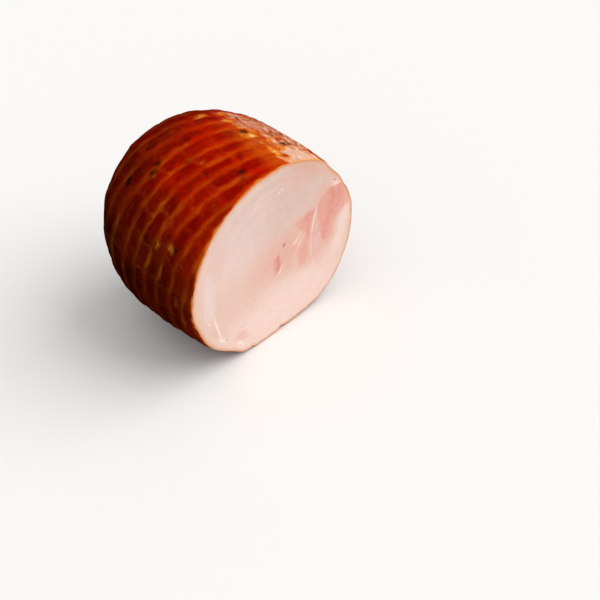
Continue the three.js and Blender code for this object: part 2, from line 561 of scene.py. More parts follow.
@dataclass(frozen=True)
class NetLines:
    """How clearly the net's marks show as lighter lines, and the cells between them as darker."""

    hoop_width: float = 1.35
    hoop_widening: float = 0.9
    strand_width: float = 1.4
    gathered_share: float = 0.8
    left_from_deg: Span = (162.0, 200.0)
    left_to_deg: Span = (290.0, 320.0)
    left_fading: float = 0.58
    amber_fading: float = 0.6
    top_deg: float = 100.0
    top_half_deg: float = 20.0
    top_reach: Span = (30.0, 70.0)
    top_fading: float = 0.4
    far_reach: Span = (52.0, 72.0)
    far_spread_deg: Span = (55.0, 80.0)
    bright_place: Span = (120.0, 46.0)
    bright_size: Span = (18.0, 9.0)
    brightening: float = 0.3

    def at(self, places: SkinPlaces, marks: NetMarks, amber: Array) -> tuple[Array, Array]:
        """Strength of the lines and of the cells at each point.

        Args:
            places: Where the points lie.
            marks: The net's marks there.
            amber: Cover of the amber stretch beside the ridge, where both fade.

        Returns:
            The lines' strength and the cells' strength, 0 to about 1.
        """
        small, large = places.small, places.large
        hoop_gap = np.abs(marks.hoop_offset + 0.4 * small + 0.5 * large)
        strand_gap = np.abs(marks.strand_offset + 1.2 * small)
        width = self.hoop_width + self.hoop_widening * smooth(large, 0.2, 1.2)
        hoops = (0.4 + 0.6 * smooth(large, -0.9, 0.7)) * bell(hoop_gap, width)
        hoops = hoops * (1 - 0.6 * marks.gathered)
        strands = (0.5 + 0.2 * small) * marks.strand_strength * bell(strand_gap, self.strand_width)
        lines = np.clip(hoops + strands * (1 - 0.7 * hoops), 0, 1)
        between = smooth(hoop_gap, 0.8, 3.8) * (0.6 + 0.4 * smooth(strand_gap, 0.4, 3.6))
        cells = (0.4 + 0.6 * marks.cell_tone) * between * (1 - 0.7 * amber)
        return lines * self.clearness(places, marks, amber), cells

    def clearness(self, places: SkinPlaces, marks: NetMarks, amber: Array) -> Array:
        """Share of the lines' strength that is left where they fade or stand out."""
        facing, behind = places.facing, places.behind
        from_ridge = np.abs(turn_from(facing, BrowningAndShade.ridge_deg))
        # Low on the left the lines fade, as part of the painted shade of that side.
        low_left = smooth(facing, *self.left_from_deg) * (1 - smooth(facing, *self.left_to_deg))
        near_top = bell(facing - self.top_deg, self.top_half_deg)
        near_top = near_top * (1 - 0.6 * smooth(behind, *self.top_reach))
        far_top = smooth(behind, *self.far_reach) * (1 - smooth(from_ridge, *self.far_spread_deg))
        clear = (1 - self.left_fading * low_left) * (1 - self.amber_fading * amber)
        clear = clear * (1 - self.top_fading * near_top) * (1 - self.top_fading * far_top)
        bright = bell(facing - self.bright_place[0], self.bright_size[0])
        bright = bright * bell(behind - self.bright_place[1], self.bright_size[1])
        clear = (clear + self.brightening * bright) * (1 - marks.gathered)
        return clear + self.gathered_share * marks.gathered


# ---------------------------------------------------------------------------
# Pattern of the cut face
# ---------------------------------------------------------------------------


class Tone(Enum):
    """Fields and lines of colour on the cut face; each becomes one mesh attribute."""

    PINK = "face_pink"
    DEEP = "face_deep"
    GREY = "face_grey"
    PEACH = "face_peach"
    LILAC = "face_lilac"
    TAN = "face_tan"
    SEAM = "face_seam"
    DARK = "face_dark"


Place = tuple[float, float]

# Heights on the cut face between which nothing fades, as both lie below it.
NO_FADE = (-200.0, -201.0)


def line_gap(u: Array, v: Array, start: Place, end: Place) -> tuple[Array, Array]:
    """How far places lie from a straight line between two points.

    Args:
        u: Places across the cut face.
        v: Places up the cut face.
        start: Where the line starts.
        end: Where it ends.

    Returns:
        Distance of each place to the line, and the share of the line beside it.
    """
    run, rise = end[0] - start[0], end[1] - start[1]
    share = ((u - start[0]) * run + (v - start[1]) * rise) / (run * run + rise * rise)
    share = np.clip(share, 0.0, 1.0)
    return np.hypot(u - start[0] - share * run, v - start[1] - share * rise), share


@dataclass(frozen=True)
class Muscle:
    """A muscle cut across: a closed outline, a soft edge, and a lower end that fades."""

    tone: Tone
    outline: tuple[Place, ...]
    edge: float
    strength: float
    fade: Span = NO_FADE

    def cover(self, u: Array, v: Array) -> Array:
        """How strongly the muscle shows at each place."""
        inside = np.zeros(u.shape, bool)
        gap = np.full(u.shape, FAR_AWAY)
        for start, end in zip(self.outline, self.outline[1:] + self.outline[:1]):
            gap = np.minimum(gap, line_gap(u, v, start, end)[0])
            beside = start[0] + (v - start[1]) * (end[0] - start[0]) / (end[1] - start[1])
            inside ^= ((start[1] > v) != (end[1] > v)) & (u < beside)
        depth = np.where(inside, gap, -gap)
        fading = smooth(v, self.fade[1], self.fade[0])
        return self.strength * smooth(depth, -self.edge, self.edge) * fading


@dataclass(frozen=True)
class Field:
    """A soft oval field of one tone on the cut face, u across and v up from its middle."""

    tone: Tone
    u: float
    v: float
    half_length: float
    half_width: float
    turn_deg: float
    strength: float
    softness: float

    def cover(self, u: Array, v: Array) -> Array:
        """How strongly the field shows at each place."""
        turn = math.radians(self.turn_deg)
        lengthwise = (u - self.u) * math.cos(turn) + (v - self.v) * math.sin(turn)
        sideways = (v - self.v) * math.cos(turn) - (u - self.u) * math.sin(turn)
        reach = np.hypot(lengthwise / self.half_length, sideways / self.half_width)
        return self.strength * (1 - smooth(reach, 1 - self.softness, 1 + self.softness))


@dataclass(frozen=True)
class Streak:
    """A thin curved line of one tone through three points on the cut face."""

    tone: Tone
    start: Place
    middle: Place
    end: Place
    width: float
    strength: float
    pieces: int = 9
    bluntness: float = 0.06

    def cover(self, u: Array, v: Array) -> Array:
        """How strongly the line shows at each place; it tapers towards its ends."""
        first, through, last = (np.array(p) for p in (self.start, self.middle, self.end))
        handle = 2 * through - (first + last) / 2
        shares = np.linspace(0, 1, self.pieces + 1)[:, None]
        line = (1 - shares) ** 2 * first + 2 * shares * (1 - shares) * handle + shares**2 * last
        total = np.zeros(u.shape)
        for piece, (start, end) in enumerate(zip(line[:-1], line[1:])):
            gap, share = line_gap(u, v, tuple(start), tuple(end))
            reached = (piece + share) / self.pieces
            taper = np.sin(math.pi * (self.bluntness + (1 - 2 * self.bluntness) * reached))
            total = np.maximum(total, np.sqrt(taper) * bell(gap, self.width))
        return self.strength * total


def face_muscles() -> tuple[Muscle, ...]:
    """The muscles that show as patches with an edge."""
    upper = ((73.5, 25), (67, 29.5), (59, 31), (52, 30.5), (43, 28.5), (38.6, 24.5), (38.2, 18), (39.4, 9))
    upper += ((41.5, 0), (44, -10), (47, -24), (52, -32), (56.5, -22), (57, -5), (60, 1.5), (66, 4.5))
    upper += ((72, 7), (75, 14))
    core = ((67, 24), (62, 28), (54, 28.5), (50, 24), (48, 15), (46.5, 6), (46, -3), (48, -10))
    core += ((51, -13), (53, -5), (55, 4), (61, 9), (67, 13))
    inner = ((39.3, 22.5), (30.6, 22.9), (23.5, 21.6), (17, 19.1), (17.6, 15.2), (22, 9), (25, 3))
    inner += ((27, -7), (31.4, -8), (34.3, 8))
    column = ((26, 7), (33.5, 8), (31.6, 0), (30.4, -10), (31.5, -24), (26, -29), (19, -22), (19.5, -10))
    column += ((23, -2),)
    inner_core = ((37.5, 20.5), (30, 20.8), (24, 18.5), (27, 12), (29, 3), (30.5, 4), (33.5, 12))
    wedge = ((-5.6, -0.6), (1.0, 0.6), (4.6, -5.4), (3.2, -10.6), (-0.2, -15.2), (-2.2, -18), (-5.6, -9))
    band = ((-64.3, 23), (-59.2, 18.5), (-59.0, 2), (-61, -15), (-64, -23), (-68, -28), (-71, -22))
    band += ((-70.5, -10), (-69, 6), (-66.6, 17))
    fat = ((68, 31.6), (63.4, 35.4), (57, 35), (54.7, 31.9), (60, 32.4), (66, 30.2))
    edge = ((70.5, 9), (73.5, 6), (74, -6), (66, -28), (54, -40), (50, -36), (56, -24), (64, -4), (68, 3))
    return (
        Muscle(Tone.PINK, upper, 3.8, 0.88, (2, -36)),
        Muscle(Tone.DEEP, core, 4.6, 0.45, (6, -18)),
        Muscle(Tone.PINK, inner, 3.0, 0.84),
        Muscle(Tone.PINK, column, 3.0, 0.72, (-16, -32)),
        Muscle(Tone.DEEP, inner_core, 2.4, 0.32),
        Muscle(Tone.PINK, wedge, 1.2, 0.7),
        Muscle(Tone.DEEP, wedge, 2.6, 0.5),
        Muscle(Tone.LILAC, band, 2.0, 0.75, (-8, -30)),
        Muscle(Tone.PEACH, fat, 1.2, 1.0),
        Muscle(Tone.PEACH, edge, 2.6, 0.75),
    )


def face_fields() -> tuple[Field, ...]:
    """The soft clouds of colour of the cut face."""
    return (
        Field(Tone.GREY, 4, 48, 56, 30, 4, 0.9, 0.5),
        Field(Tone.PEACH, 4, -50, 62, 24, 4, 0.95, 0.45),
        Field(Tone.TAN, 39, 60, 34, 8.5, -36, 0.5, 0.8),
        Field(Tone.TAN, -28, -6, 16, 12, -50, 0.1, 0.8),
        Field(Tone.PINK, 22, 58, 18, 9, -20, 0.4, 0.8),
        Field(Tone.PINK, 45, 27, 15, 8, 35, 0.5, 0.8),
        Field(Tone.DEEP, 62, 16, 9, 5, 70, 0.5, 0.8),
        Field(Tone.PINK, 10, 0, 34, 19, 2, 0.56, 0.8),
        Field(Tone.PINK, 34, -6, 22, 24, 80, 0.5, 0.6),
        Field(Tone.PINK, 40, -20, 16, 10, 30, 0.4, 0.8),
        Field(Tone.LILAC, -34, 30, 32, 22, 50, 0.5, 0.8),
        Field(Tone.DEEP, 48.5, -6, 6, 3, 80, 0.55, 0.7),
        Field(Tone.DEEP, 57, 23, 12, 4, 55, 0.62, 0.8),
        Field(Tone.DEEP, 33, 17, 8, 4, 30, 0.45, 0.6),
        Field(Tone.DEEP, -0.5, -5, 6, 2.2, 70, 0.85, 0.6),
        Field(Tone.PINK, -38, -49, 8, 6, 50, 0.45, 0.6),
        Field(Tone.LILAC, 40, -8, 12, 4, 84, 0.55, 0.7),
    )


def face_streaks() -> tuple[Streak, ...]:
    """The thin seams and spots of the cut face, and a line of painted shadow."""
    seams = (
        ((40.6, 23.4), (36.4, 12), (34.2, 0), 0.75, 0.62),
        ((34.4, 2), (33.6, -10), (34.9, -22), 0.8, 0.46),
        ((34.9, -22), (36.5, -27), (38.5, -32), 0.8, 0.35),
        ((26.6, 4), (22.1, -1), (18.4, -5), 0.75, 0.42),
        ((22, 6), (19, 4.6), (15, 3), 0.9, 0.5),
        ((20, 4), (17.5, 2.5), (14.5, 1), 1.2, 0.5),
        ((22, 3), (21, 0), (19, -3), 0.8, 0.5),
        ((25, 8), (22.5, 7), (20.5, 8), 0.9, 0.4),
        ((19.5, -4), (17.5, -8), (16.5, -12), 0.75, 0.35),
        ((28, 9), (27, 5), (25.5, 3), 0.75, 0.35),
        ((-61, -16), (-59, -30), (-56.2, -40), 0.85, 0.85),
        ((-58.5, -39), (-55.8, -42), (-52, -44), 1.6, 0.8),
        ((-42, -53), (-38.6, -56), (-35.5, -60), 1.5, 0.85),
        ((-40, -42), (-32.6, -44.7), (-26, -42), 0.9, 0.5),
        ((3.6, -9), (1.8, -14), (-2.4, -19), 0.8, 0.5),
        ((1, 52.4), (1.6, 53), (2.2, 53.4), 0.95, 0.7),
        ((4.4, 53.8), (5, 54.3), (5.8, 55), 0.8, 0.6),
        ((71, 18), (70.6, 12), (69, 6), 0.8, 0.35),
        ((69, 6), (64, -8), (55, -26), 0.9, 0.3),
        ((56, 31), (62, 32), (68, 31), 0.9, 0.8),
        ((-14.5, -50), (-9, -50.8), (-4, -50), 0.8, 0.6),
        ((-6, -45.5), (0, -46.5), (7, -45), 0.8, 0.5),
        ((10, -42), (18, -43.5), (26, -40), 0.8, 0.4),
        ((-26, -31), (-6, -24), (30, -32), 1.4, 0.22),
        ((-67, -19), (-66.6, -20), (-66, -21), 0.8, 0.7),
        ((-64, 9), (-63.7, 8), (-63.4, 7), 0.7, 0.6),
    )
    dark = (
        ((6.9, 7.4), (6.4, 6.2), (5.9, 5.0), 0.8, 0.95),
        ((-53.6, -43.4), (-52.6, -43.8), (-51.6, -44.4), 0.75, 0.7),
        ((57.8, 36.2), (58, 35.3), (58.6, 34.4), 0.75, 0.85),
        ((24.5, 1), (22.5, -1.5), (20.5, -4), 0.7, 0.3),
    )
    # A line of painted shadow, in the deep pink tone.
    deep = (((-25, -46.5), (-40, -43.8), (-44, -52), 0.8, 0.4),)
    lines = ((Tone.SEAM, seams), (Tone.DARK, dark), (Tone.DEEP, deep))
    return tuple(Streak(tone, *row) for tone, rows in lines for row in rows)


# ---------------------------------------------------------------------------
# Shader writing
# ---------------------------------------------------------------------------


@dataclass(frozen=True)
class Value:
    """One number socket of a material, so that maths on it reads as an expression."""

    graph: "Graph"
    socket: bpy.types.NodeSocket

    def _math(self, operation: str, *others: "Value | float") -> "Value":
        """Adds one Math node with this value first."""
        return self.graph.math(operation, self, *others)

    def __add__(self, other: "Value | float") -> "Value":
        """Sum."""
        return self._math("ADD", other)

    __radd__ = __add__

    def __sub__(self, other: "Value | float") -> "Value":
        """Difference."""
        return self._math("SUBTRACT", other)

    def __rsub__(self, other: float) -> "Value":
        """Difference from a plain number."""
        return self.graph.math("SUBTRACT", other, self)

    def __mul__(self, other: "Value | float") -> "Value":
        """Product."""
        return self._math("MULTIPLY", other)

    __rmul__ = __mul__

    def size(self) -> "Value":
        """The value without its sign."""
        return self._math("ABSOLUTE")

    def step(self, start: float, end: float) -> "Value":
        """Smooth step of the value, 0 at start and 1 at end."""
        inputs = {"Value": self.socket, "From Min": start, "From Max": end}
        node = self.graph.node("ShaderNodeMapRange", {"interpolation_type": "SMOOTHSTEP"}, inputs)
        return Value(self.graph, node.outputs["Result"])


class Graph:
    """The node tree of one material, with one method that adds any node."""

    def __init__(self, name: str) -> None:
        """Makes an empty material with its output and its coordinates.

        Args:
            name: Name of the material.
        """
        self.material = bpy.data.materials.new(name)
        self.material.use_nodes = True
        self.tree = self.material.node_tree
        self.tree.nodes.clear()
        self.output = self.node("ShaderNodeOutputMaterial")
        self.places = self.node("ShaderNodeTexCoord").outputs["Object"]

    def node(
        self,
        kind: str,
        settings: dict[str, Any] | None = None,
        inputs: dict[str | int, Any] | None = None,
    ) -> bpy.types.Node:
        """Adds a node, sets it up and feeds its sockets.

        Args:
            kind: Blender's name for the node type.
            settings: Properties of the node, set before its sockets are fed.
            inputs: A number, a colour, a Value or a socket for each input socket.

        Returns:
            The new node.
        """
        node = self.tree.nodes.new(kind)
        for name, setting in (settings or {}).items():
            if name == "stops":
                self.set_stops(node.color_ramp, setting)
            else:
                setattr(node, name, setting)
        for name, given in (inputs or {}).items():
            source = given.socket if isinstance(given, Value) else given
            if isinstance(source, bpy.types.NodeSocket):
                self.tree.links.new(source, node.inputs[name])
            else:
                node.inputs[name].default_value = source
        return node

    @staticmethod
    def set_stops(ramp: bpy.types.ColorRamp, stops: tuple[tuple[float, Colour], ...]) -> None:
        """Gives a ramp its places and colours."""
        while len(ramp.elements) < len(stops):
            ramp.elements.new(1.0)
        for element, (place, colour) in zip(ramp.elements, stops):
            element.position = place
            element.color = colour

    def ramp(self, share: Value, *stops: tuple[float, Colour]) -> Any:
        """Colour read off a row of stops by a share from 0 to 1."""
        return self.node("ShaderNodeValToRGB", {"stops": stops}, {0: share}).outputs["Color"]

    def math(self, operation: str, *terms: Value | float) -> Value:
        """Adds one Math node over values and numbers."""
        node = self.node("ShaderNodeMath", {"operation": operation}, dict(enumerate(terms)))
        return Value(self, node.outputs[0])

    def attribute(self, name: str) -> Value:
        """A number that the mesh carries at its points."""
        node = self.node("ShaderNodeAttribute", {"attribute_name": name})
        return Value(self, node.outputs["Fac"])

    def stretched(self, scale: tuple[float, float, float], turn_deg: tuple[float, float, float]) -> Any:
        """Coordinates turned and stretched, for grain that runs one way."""
        turn = tuple(math.radians(part) for part in turn_deg)
        inputs = {"Vector": self.places, "Rotation": turn, "Scale": scale}
        return self.node("ShaderNodeMapping", None, inputs).outputs["Vector"]

    def drawn_along(self, stretch: float, across_mm: Value) -> Any:
        """Coordinates in which cloudy variation comes out drawn along lines on the surface.

        Args:
            stretch: How many times longer than wide the variation gets.
            across_mm: Distance across the lines, in millimetres.

        Returns:
            The coordinates.
        """
        split = self.node("ShaderNodeSeparateXYZ", None, {0: self.places})
        sideways = Value(self, split.outputs["X"]) * (1 / stretch)
        up = Value(self, split.outputs["Z"]) * (1 / stretch)
        inputs = {0: sideways, 1: up, 2: across_mm * MM}
        return self.node("ShaderNodeCombineXYZ", None, inputs).outputs[0]

    def noise(self, size: float, detail: float, places: Any = None, rough: float = 0.5) -> Value:
        """Cloudy variation about 0.5.

        Args:
            size: Size of its features in millimetres.
            detail: Number of finer layers.
            places: Coordinates to use instead of the object's own.
            rough: Strength of the finer layers.

        Returns:
            The variation, mostly between 0.2 and 0.8.
        """
        inputs = {
            "Vector": places or self.places,
            "Scale": 1 / (size * MM),
            "Detail": detail,
            "Roughness": rough,
        }
        return Value(self, self.node("ShaderNodeTexNoise", None, inputs).outputs[0])

    def flecks(self, size: float, places: Any = None) -> Value:
        """Distance to scattered points, in shares of their spacing in millimetres."""
        inputs = {"Vector": places or self.places, "Scale": 1 / (size * MM)}
        return Value(self, self.node("ShaderNodeTexVoronoi", None, inputs).outputs["Distance"])

    def blend(self, share: Value | float, under: Any, over: Any) -> Any:
        """Colour that goes from one to another as a share goes from 0 to 1."""
        settings = {"data_type": "RGBA", "blend_type": "MIX"}
        node = self.node("ShaderNodeMix", settings, {0: share, 6: under, 7: over})
        return node.outputs[2]

    def shade(self, colour: Any, amount: Value) -> Any:
        """Colour made darker or lighter by a factor about 1."""
        factor = self.node("ShaderNodeCombineXYZ", None, {0: amount, 1: amount, 2: amount})
        settings = {"data_type": "RGBA", "blend_type": "MULTIPLY"}
        node = self.node("ShaderNodeMix", settings, {0: 1.0, 6: colour, 7: factor.outputs[0]})
        return node.outputs[2]

    def bump(self, height: Value, strength: float, distance: float) -> Any:
        """Normals tilted by a height; distance is millimetres of height from 0 to 1."""
        inputs = {"Height": height, "Strength": strength, "Distance": distance * MM}
        return self.node("ShaderNodeBump", None, inputs).outputs["Normal"]

    def principled(self, inputs: dict[str, Any]) -> None:
        """Ends the material in a Principled shader."""
        shader = self.node("ShaderNodeBsdfPrincipled", None, inputs)
        self.tree.links.new(shader.outputs[0], self.output.inputs[0])


@dataclass(frozen=True)
class SkinFinish:
    """Browned, greasy skin: red cells between lighter lines where the net lay, with painted shade on the
    left and low side and painted glints on the greasy band.
    """

    red: Colour = srgb(180, 19, 1)
    orange: Colour = srgb(198, 54, 5)
    amber: Colour = srgb(208, 88, 12)
    brown_and_shade: Colour = srgb(124, 34, 5)
    dark_cell: Colour = srgb(136, 7, 1)
    dark_brown_shaded_cell: Colour = srgb(70, 8, 2)
    strand: Colour = srgb(194, 78, 8)
    strand_brown: Colour = srgb(170, 84, 16)
    shade_even: float = 0.42
    shade_deep: float = 0.34
    gold: Colour = srgb(232, 146, 46)
    pale_gold: Colour = srgb(252, 206, 132)
    char: Colour = srgb(34, 12, 4)
    fat: Colour = srgb(202, 144, 110)
    # Pale fat; the same colour paints the glints on the greasy band.
    white_fat_and_glint: Colour = srgb(240, 206, 180)
    grey_fat: Colour = srgb(156, 106, 84)
    tan_fat: Colour = srgb(184, 104, 60)
    brown_fat: Colour = srgb(124, 46, 20)
    streak_stretch: float = 3.6
    bare: Colour = srgb(219, 174, 148)
    edge: Colour = srgb(204, 54, 2)

    def make(self) -> bpy.types.Material:
        """Builds the material."""
        graph = Graph("grilled_skin")
        net = graph.attribute("net")
        brown_and_shade = graph.attribute("brown_and_shade")
        cell = graph.attribute("cell")
        greasy = graph.attribute("greasy")
        behind = graph.attribute("near_cut")
        broad = graph.noise(22, 3)
        mid = graph.noise(6, 4)
        fine = graph.noise(1.6, 4)
        grain = graph.noise(0.5, 3)

        along_net = graph.drawn_along(self.streak_stretch, graph.attribute("net_down"))
        streak = graph.noise(2.4, 4, along_net, 0.55)
        smear = graph.noise(7.0, 3, along_net)

        ground = graph.blend((broad * 2.4 - 0.8).step(0, 1) * 0.4, self.red, self.orange)
        amber = (graph.attribute("amber") + (mid - 0.5) * 0.9 + (streak - 0.5) * 0.5).step(0.1, 0.8)
        ground = graph.blend(amber * 0.62, ground, self.amber)
        # On the left and low side the ground and cells go to darker browns: partly real browning, partly
        # painted shade.
        ground = graph.blend(brown_and_shade.step(0.0, 0.75), ground, self.brown_and_shade)
        dark = graph.blend(brown_and_shade, self.dark_cell, self.dark_brown_shaded_cell)
        line = graph.blend(brown_and_shade, self.strand, self.strand_brown)
        uneven = (mid - 0.5) * 1.3 + (smear - 0.5) * 0.8 + (streak - 0.5) * 0.5
        colour = graph.blend((cell + uneven).step(-0.15, 0.95) * 0.9, ground, dark)
        presence = (broad * 0.4 + smear * 0.6).step(0.38, 0.6)
        lines = (net * (0.65 + 0.7 * mid) + (streak - 0.5) * 0.5).step(0.06, 1.0)
        colour = graph.blend(lines * (0.3 + 0.75 * presence), colour, line)
        colour = graph.blend((streak * 0.7 + fine * 0.3).step(0.52, 0.7) * 0.16, colour, line)
        colour = graph.blend(graph.noise(3.6, 3).step(0.54, 0.7) * 0.32, colour, dark)
        wrinkle = self.crease(graph.noise(6.0, 4, along_net)) * (smear - 0.42).step(0.0, 0.25)
        colour = graph.blend(wrinkle * 0.14, colour, line)

        orange_edge = 1 - (behind + (mid - 0.5) * 4).step(0.5, 4.5)
        colour = graph.blend(orange_edge * (0.75 - 0.4 * brown_and_shade), colour, self.edge)

        colour = self.mottled(graph, colour)
        gold = graph.attribute("gold") * (0.4 + 1.0 * mid) * (streak * 0.6 + fine * 0.4).step(0.28, 0.56)
        colour = graph.blend(gold.step(0.05, 0.85) * 0.85, colour, self.gold)
        colour = graph.blend(gold.step(0.8, 1.3) * 0.8, colour, self.pale_gold)
        white = graph.attribute("white") * (0.4 + 0.6 * mid) * (streak * 0.5 + fine * 0.5).step(0.36, 0.6)
        colour = graph.blend(white.step(0.1, 0.9) * 0.85, colour, self.white_fat_and_glint)
        patch = graph.attribute("bare")
        bare = (patch + (fine - 0.5) * 0.4 + (mid - 0.5) * 0.8) * patch.step(0.0, 0.2)
        colour = graph.blend(bare.step(0.05, 0.3) * 0.5, colour, self.gold)
        colour = graph.blend(bare.step(0.15, 0.75) * 0.95, colour, self.bare)
        drawn = graph.noise(2.6, 4, graph.stretched((1.0, 0.3, 1.0), (0, 0, 24)))
        inside = bare.step(0.3, 0.65)
        colour = graph.blend(inside * (1 - drawn.step(0.34, 0.5)) * 0.4, colour, self.tan_fat)
        colour = graph.blend(inside * drawn.step(0.53, 0.7) * 0.6, colour, self.white_fat_and_glint)

        patchy = (mid - 0.5) * 1.0 + (smear - 0.5) * 0.8 + (fine - 0.5) * 0.3
        char = (graph.attribute("char") + patchy).step(0.2, 0.9)
        colour = graph.blend(char * 0.85, colour, self.char)
        # Painted shade: the skin gets darker where it is browned and on its left and low side, where the
        # darkening is partly painted shade; right beside the cut it is darkened a little less.
        lit_edge = 1 - behind.step(0.0, 9.0)
        shade = 1 - brown_and_shade * (self.shade_even + self.shade_deep * brown_and_shade) * (1 - 0.3 * lit_edge)
        colour = graph.shade(colour, (0.9 + 0.2 * grain) * shade)
        gold_edge = 1 - (behind + (fine - 0.5) * 0.8).step(0.5, 1.7)
        colour = graph.blend(gold_edge * (0.35 + 0.6 * mid), colour, self.gold)

        height = fine * 0.4 + graph.noise(3.4, 4) * 0.45 + grain * 0.15
        graph.principled(
            {
                "Base Color": colour,
                "Roughness": 0.45 + 0.3 * (fine - 0.5),
                "IOR": 1.4,
                "Specular IOR Level": 0.0,
                "Subsurface Weight": 0.04,
                "Subsurface Radius": (1.0, 0.15, 0.03),
                "Subsurface Scale": 0.0015,
                "Coat Weight": greasy * (fine * 0.5 + streak * 0.5).step(0.42, 0.66) * 0.6,
                "Coat Roughness": 0.2,
                "Coat IOR": 1.35,
                "Normal": graph.bump(height, 0.6, 0.5),
            }
        )
        return graph.material

    @staticmethod
    def crease(cloud: Value) -> Value:
        """Thin winding lines where cloudy variation passes its middle."""
        return 1 - (cloud - 0.5).size().step(0.0, 0.05)

    def mottled(self, graph: Graph, skin: Any) -> Any:
        """Greasy band along the ridge: streaks of pale fat partly painted as sheen, grey and gold, dark
        specks and painted white glints.

        Args:
            graph: The material's graph.
            skin: Colour of the skin that the band lies on.

        Returns:
            Colour with the band laid over it.
        """
        streaky = graph.stretched((1.0, 0.45, 1.0), (0, 0, 12))
        cloud = graph.noise(4.2, 5, streaky, 0.6)
        # The pale end of the ramp is partly pale fat and partly painted sheen of the greasy crest.
        fat = graph.ramp(
            cloud,
            (0.38, self.brown_fat),
            (0.47, self.tan_fat),
            (0.55, self.fat),
            (0.7, self.white_fat_and_glint),
        )
        greying = graph.noise(5.0, 5, streaky, 0.6).step(0.52, 0.66)
        fat = graph.blend(greying * 0.6, fat, self.grey_fat)
        mottle = graph.attribute("mottle")
        border = mottle.step(0.02, 0.3) * (1 - mottle.step(0.5, 1.0) * 0.75)
        patches = graph.noise(11.0, 5, streaky, 0.6) * 3.0 - 1.5
        cover = (mottle - 0.45 + patches).step(-0.55, 0.55) * mottle.step(0.0, 0.5)
        flakes = graph.noise(4.4, 5, streaky, 0.6)
        colour = graph.blend(cover * 0.88, skin, fat)
        # Painted glints: small white highlights on the greasy band.
        glints = graph.noise(2.6, 4, streaky, 0.6).step(0.58, 0.7) * cover.step(0.2, 1.0)
        colour = graph.blend(glints * 0.8, colour, self.white_fat_and_glint)
        colour = graph.blend(flakes.step(0.42, 0.6) * border * 0.75, colour, self.amber)
        colour = graph.blend(flakes.step(0.54, 0.66) * border * 0.6, colour, self.gold)
        specks = (1 - graph.flecks(6.5, streaky).step(0.08, 0.26)) * cover * (0.5 + cloud)
        return graph.blend(specks * 0.8, colour, self.char)


@dataclass(frozen=True)
class MeatFinish:
    """Moist, pale pink cut meat with muscles, seams of fat and a thin browned rim."""

    pale: Colour = srgb(229, 193, 177)
    grey: Colour = srgb(213, 184, 172)
    peach: Colour = srgb(239, 211, 200)
    lilac: Colour = srgb(232, 208, 203)
    pink: Colour = srgb(226, 158, 143)
    deep: Colour = srgb(214, 126, 112)
    tan: Colour = srgb(216, 160, 130)
    seam: Colour = srgb(248, 222, 204)
    dark: Colour = srgb(104, 44, 38)
    rim: Colour = srgb(222, 166, 130)
    rim_line: Colour = srgb(194, 114, 44)
    follow_rim: float = 3.5

    def make(self) -> bpy.types.Material:
        """Builds the material."""
        graph = Graph("cut_meat")
        broad = graph.noise(16, 4)
        mid = graph.noise(5, 4)
        fine = graph.noise(1.3, 4)
        inward = graph.attribute("inward")
        along_rim = graph.drawn_along(self.follow_rim, inward)
        fibre = graph.noise(1.8, 5, along_rim, 0.6)
        drawn = graph.noise(6.0, 5, along_rim, 0.5)
        outer = 1 - inward.step(18.0, 42.0)

        colour = graph.blend(graph.attribute(Tone.GREY.value) * (0.6 + 0.6 * broad), self.pale, self.grey)
        colour = graph.blend(graph.attribute(Tone.PEACH.value) * (0.6 + 0.6 * broad), colour, self.peach)
        colour = graph.blend(graph.attribute(Tone.TAN.value) * (0.5 + mid), colour, self.tan)
        colour = graph.blend(graph.attribute(Tone.LILAC.value) * (0.7 + 0.6 * drawn), colour, self.lilac)
        colour = graph.blend(drawn.step(0.48, 0.7) * outer * 0.28, colour, self.peach)
        colour = graph.blend((1 - drawn.step(0.32, 0.5)) * outer * 0.1, colour, self.tan)
        colour = graph.blend(mid.step(0.5, 0.75) * 0.25, colour, self.peach)
        grain = graph.noise(1.2, 4, graph.stretched((1.0, 1.0, 0.3), (0, 16, 0)), 0.6)
        pink = graph.attribute(Tone.PINK.value) * (0.1 + 0.8 * mid + 1.0 * grain)
        colour = graph.blend(pink.step(0.0, 1.05), colour, self.pink)
        deep = graph.attribute(Tone.DEEP.value) * (0.2 + 1.0 * mid + 0.4 * fine)
        colour = graph.blend(deep.step(0.05, 1.0) * 0.9, colour, self.deep)
        colour = graph.blend((fibre - 0.5).step(0.04, 0.24) * outer * 0.16, colour, self.seam)
        seam = graph.attribute(Tone.SEAM.value) * (0.5 + 0.5 * mid + 0.5 * fine)
        colour = graph.blend(seam.step(0.05, 0.7), colour, self.seam)
        flecks = (1 - graph.flecks(5.5).step(0.03, 0.11)) * (mid - 0.42).step(0.0, 0.2)
        colour = graph.blend(flecks * 0.55, colour, self.seam)
        dark = graph.attribute(Tone.DARK.value)
        colour = graph.blend(dark.step(0.2, 0.7) * 0.85, colour, self.dark)

        band = (1 - (inward + (mid - 0.5) * 3.0).step(0.5, 4.5)) * 0.75
        colour = graph.blend(band, colour, self.rim)
        line = 1 - (inward + (fine - 0.5) * 0.9 + (mid - 0.5) * 1.4).step(0.5, 1.7)
        browned = graph.attribute("browned")
        colour = graph.blend(line * (0.2 + 0.6 * mid + 0.5 * browned), colour, self.rim_line)
        colour = graph.shade(colour, 0.955 + 0.09 * fine)

        height = fine * 0.3 + fibre * 0.4 + mid * 0.3
        graph.principled(
            {
                "Base Color": colour,
                "Roughness": 0.42 + 0.2 * (mid - 0.5),
                "IOR": 1.38,
                "Specular IOR Level": 0.35,
                "Subsurface Weight": 0.25,
                "Subsurface Radius": (1.0, 0.45, 0.3),
                "Subsurface Scale": 0.003,
                "Coat Weight": 0.06,
                "Coat Roughness": 0.3,
                "Normal": graph.bump(height, 0.35, 0.25),
            }
        )
        return graph.material


# ---------------------------------------------------------------------------
# The ham itself
# ---------------------------------------------------------------------------


class HamMaterial(Enum):
    """Material slots of the ham's mesh."""

    SKIN = 0
    MEAT = 1


